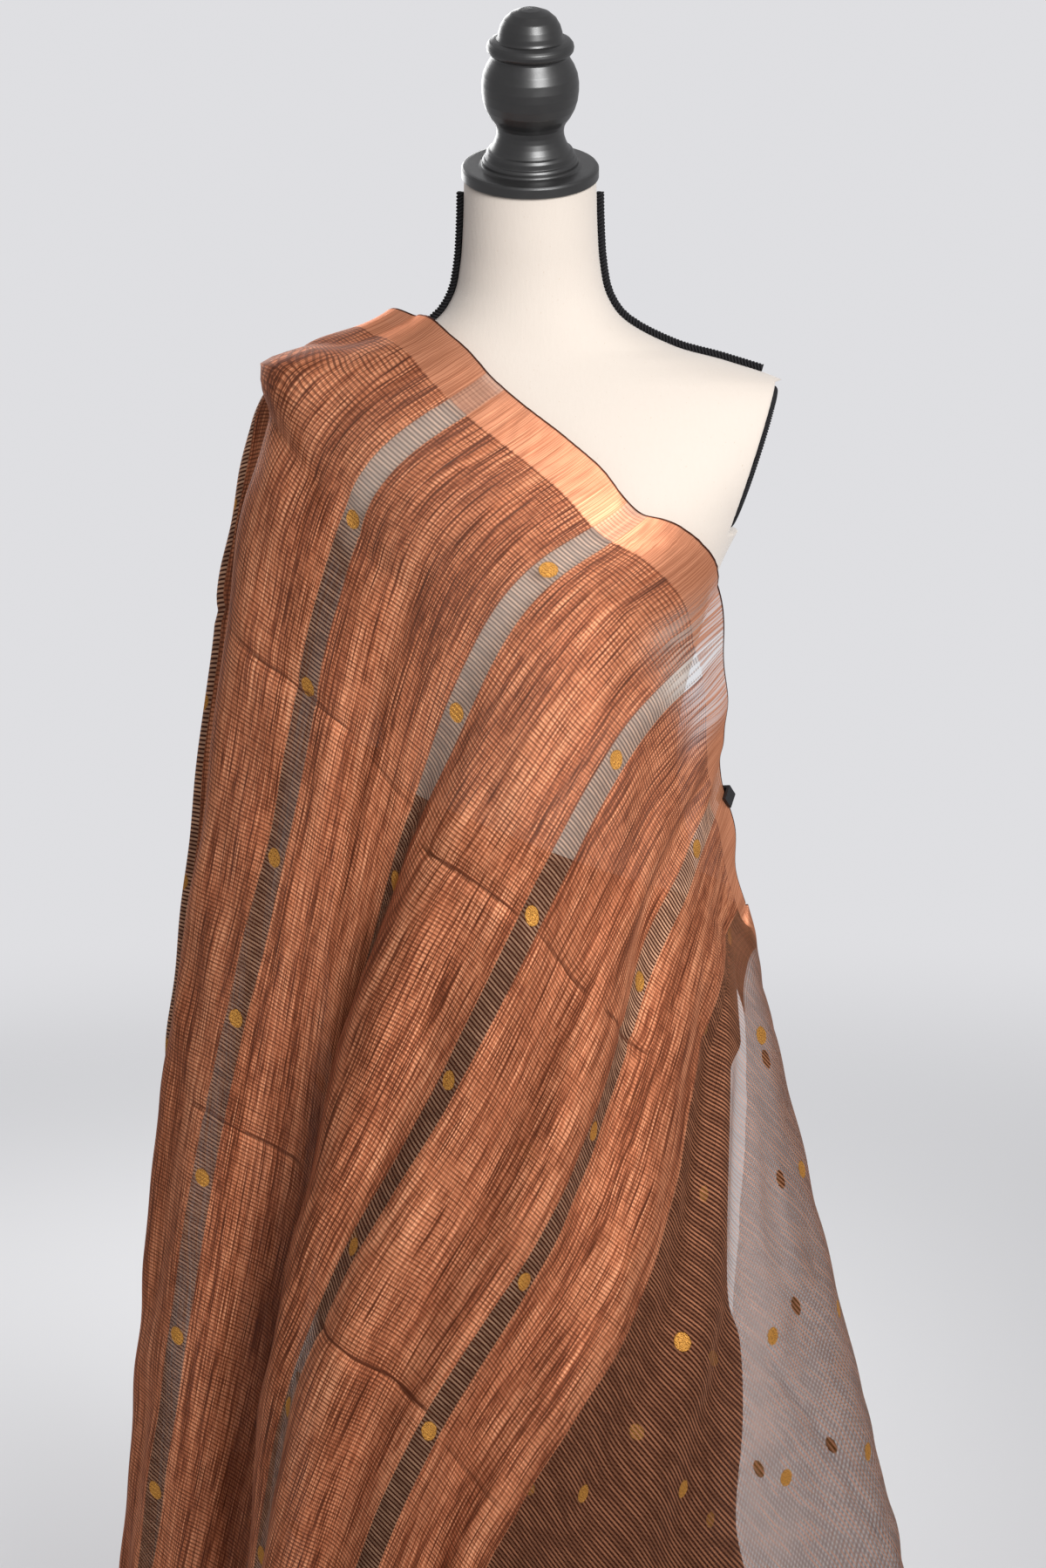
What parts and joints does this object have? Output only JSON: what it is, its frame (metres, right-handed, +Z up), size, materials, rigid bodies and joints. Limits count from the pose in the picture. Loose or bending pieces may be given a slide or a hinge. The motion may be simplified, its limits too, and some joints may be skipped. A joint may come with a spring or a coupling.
{
  "type": "saree draped on a limbless dress form",
  "caption": "Tissue saree with a copper end, sheer bars and small round motifs, draped over one shoulder of a linen dress form on a stand.",
  "frame": {"origin": "middle of the stand base's underside, on the floor", "axes": "+Z up the stand and the dress form; the front of the drape faces -Y"},
  "size_m": [0.7358, 0.4949, 1.6095],
  "materials": {
    "copper_tissue": "copper and dark brown tissue weave with a soft metallic glint",
    "sheer_tissue": "sheer dark brown weave with fine gold pinstripes",
    "linen_cover": "matt natural linen with fine flecks",
    "black_wood": "satin black lacquer",
    "black_braid": "matt black rope braid",
    "black_steel": "satin black"
  },
  "bodies": {
    "root": {"pallu_back": "copper_tissue", "pallu_front": "copper_tissue", "body_front": "sheer_tissue", "body_return": "sheer_tissue", "waist_wrap": "sheer_tissue", "form_body": "linen_cover", "arm_board_left": "linen_cover", "arm_board_right": "linen_cover", "neck_finial": "black_wood", "stand_pole": "black_wood", "stand_base": "black_wood", "shoulder_braid_left": "black_braid", "shoulder_braid_right": "black_braid", "arm_braid_left": "black_braid", "arm_braid_right": "black_braid", "side_clip": "black_steel"}
  },
  "joints": []
}
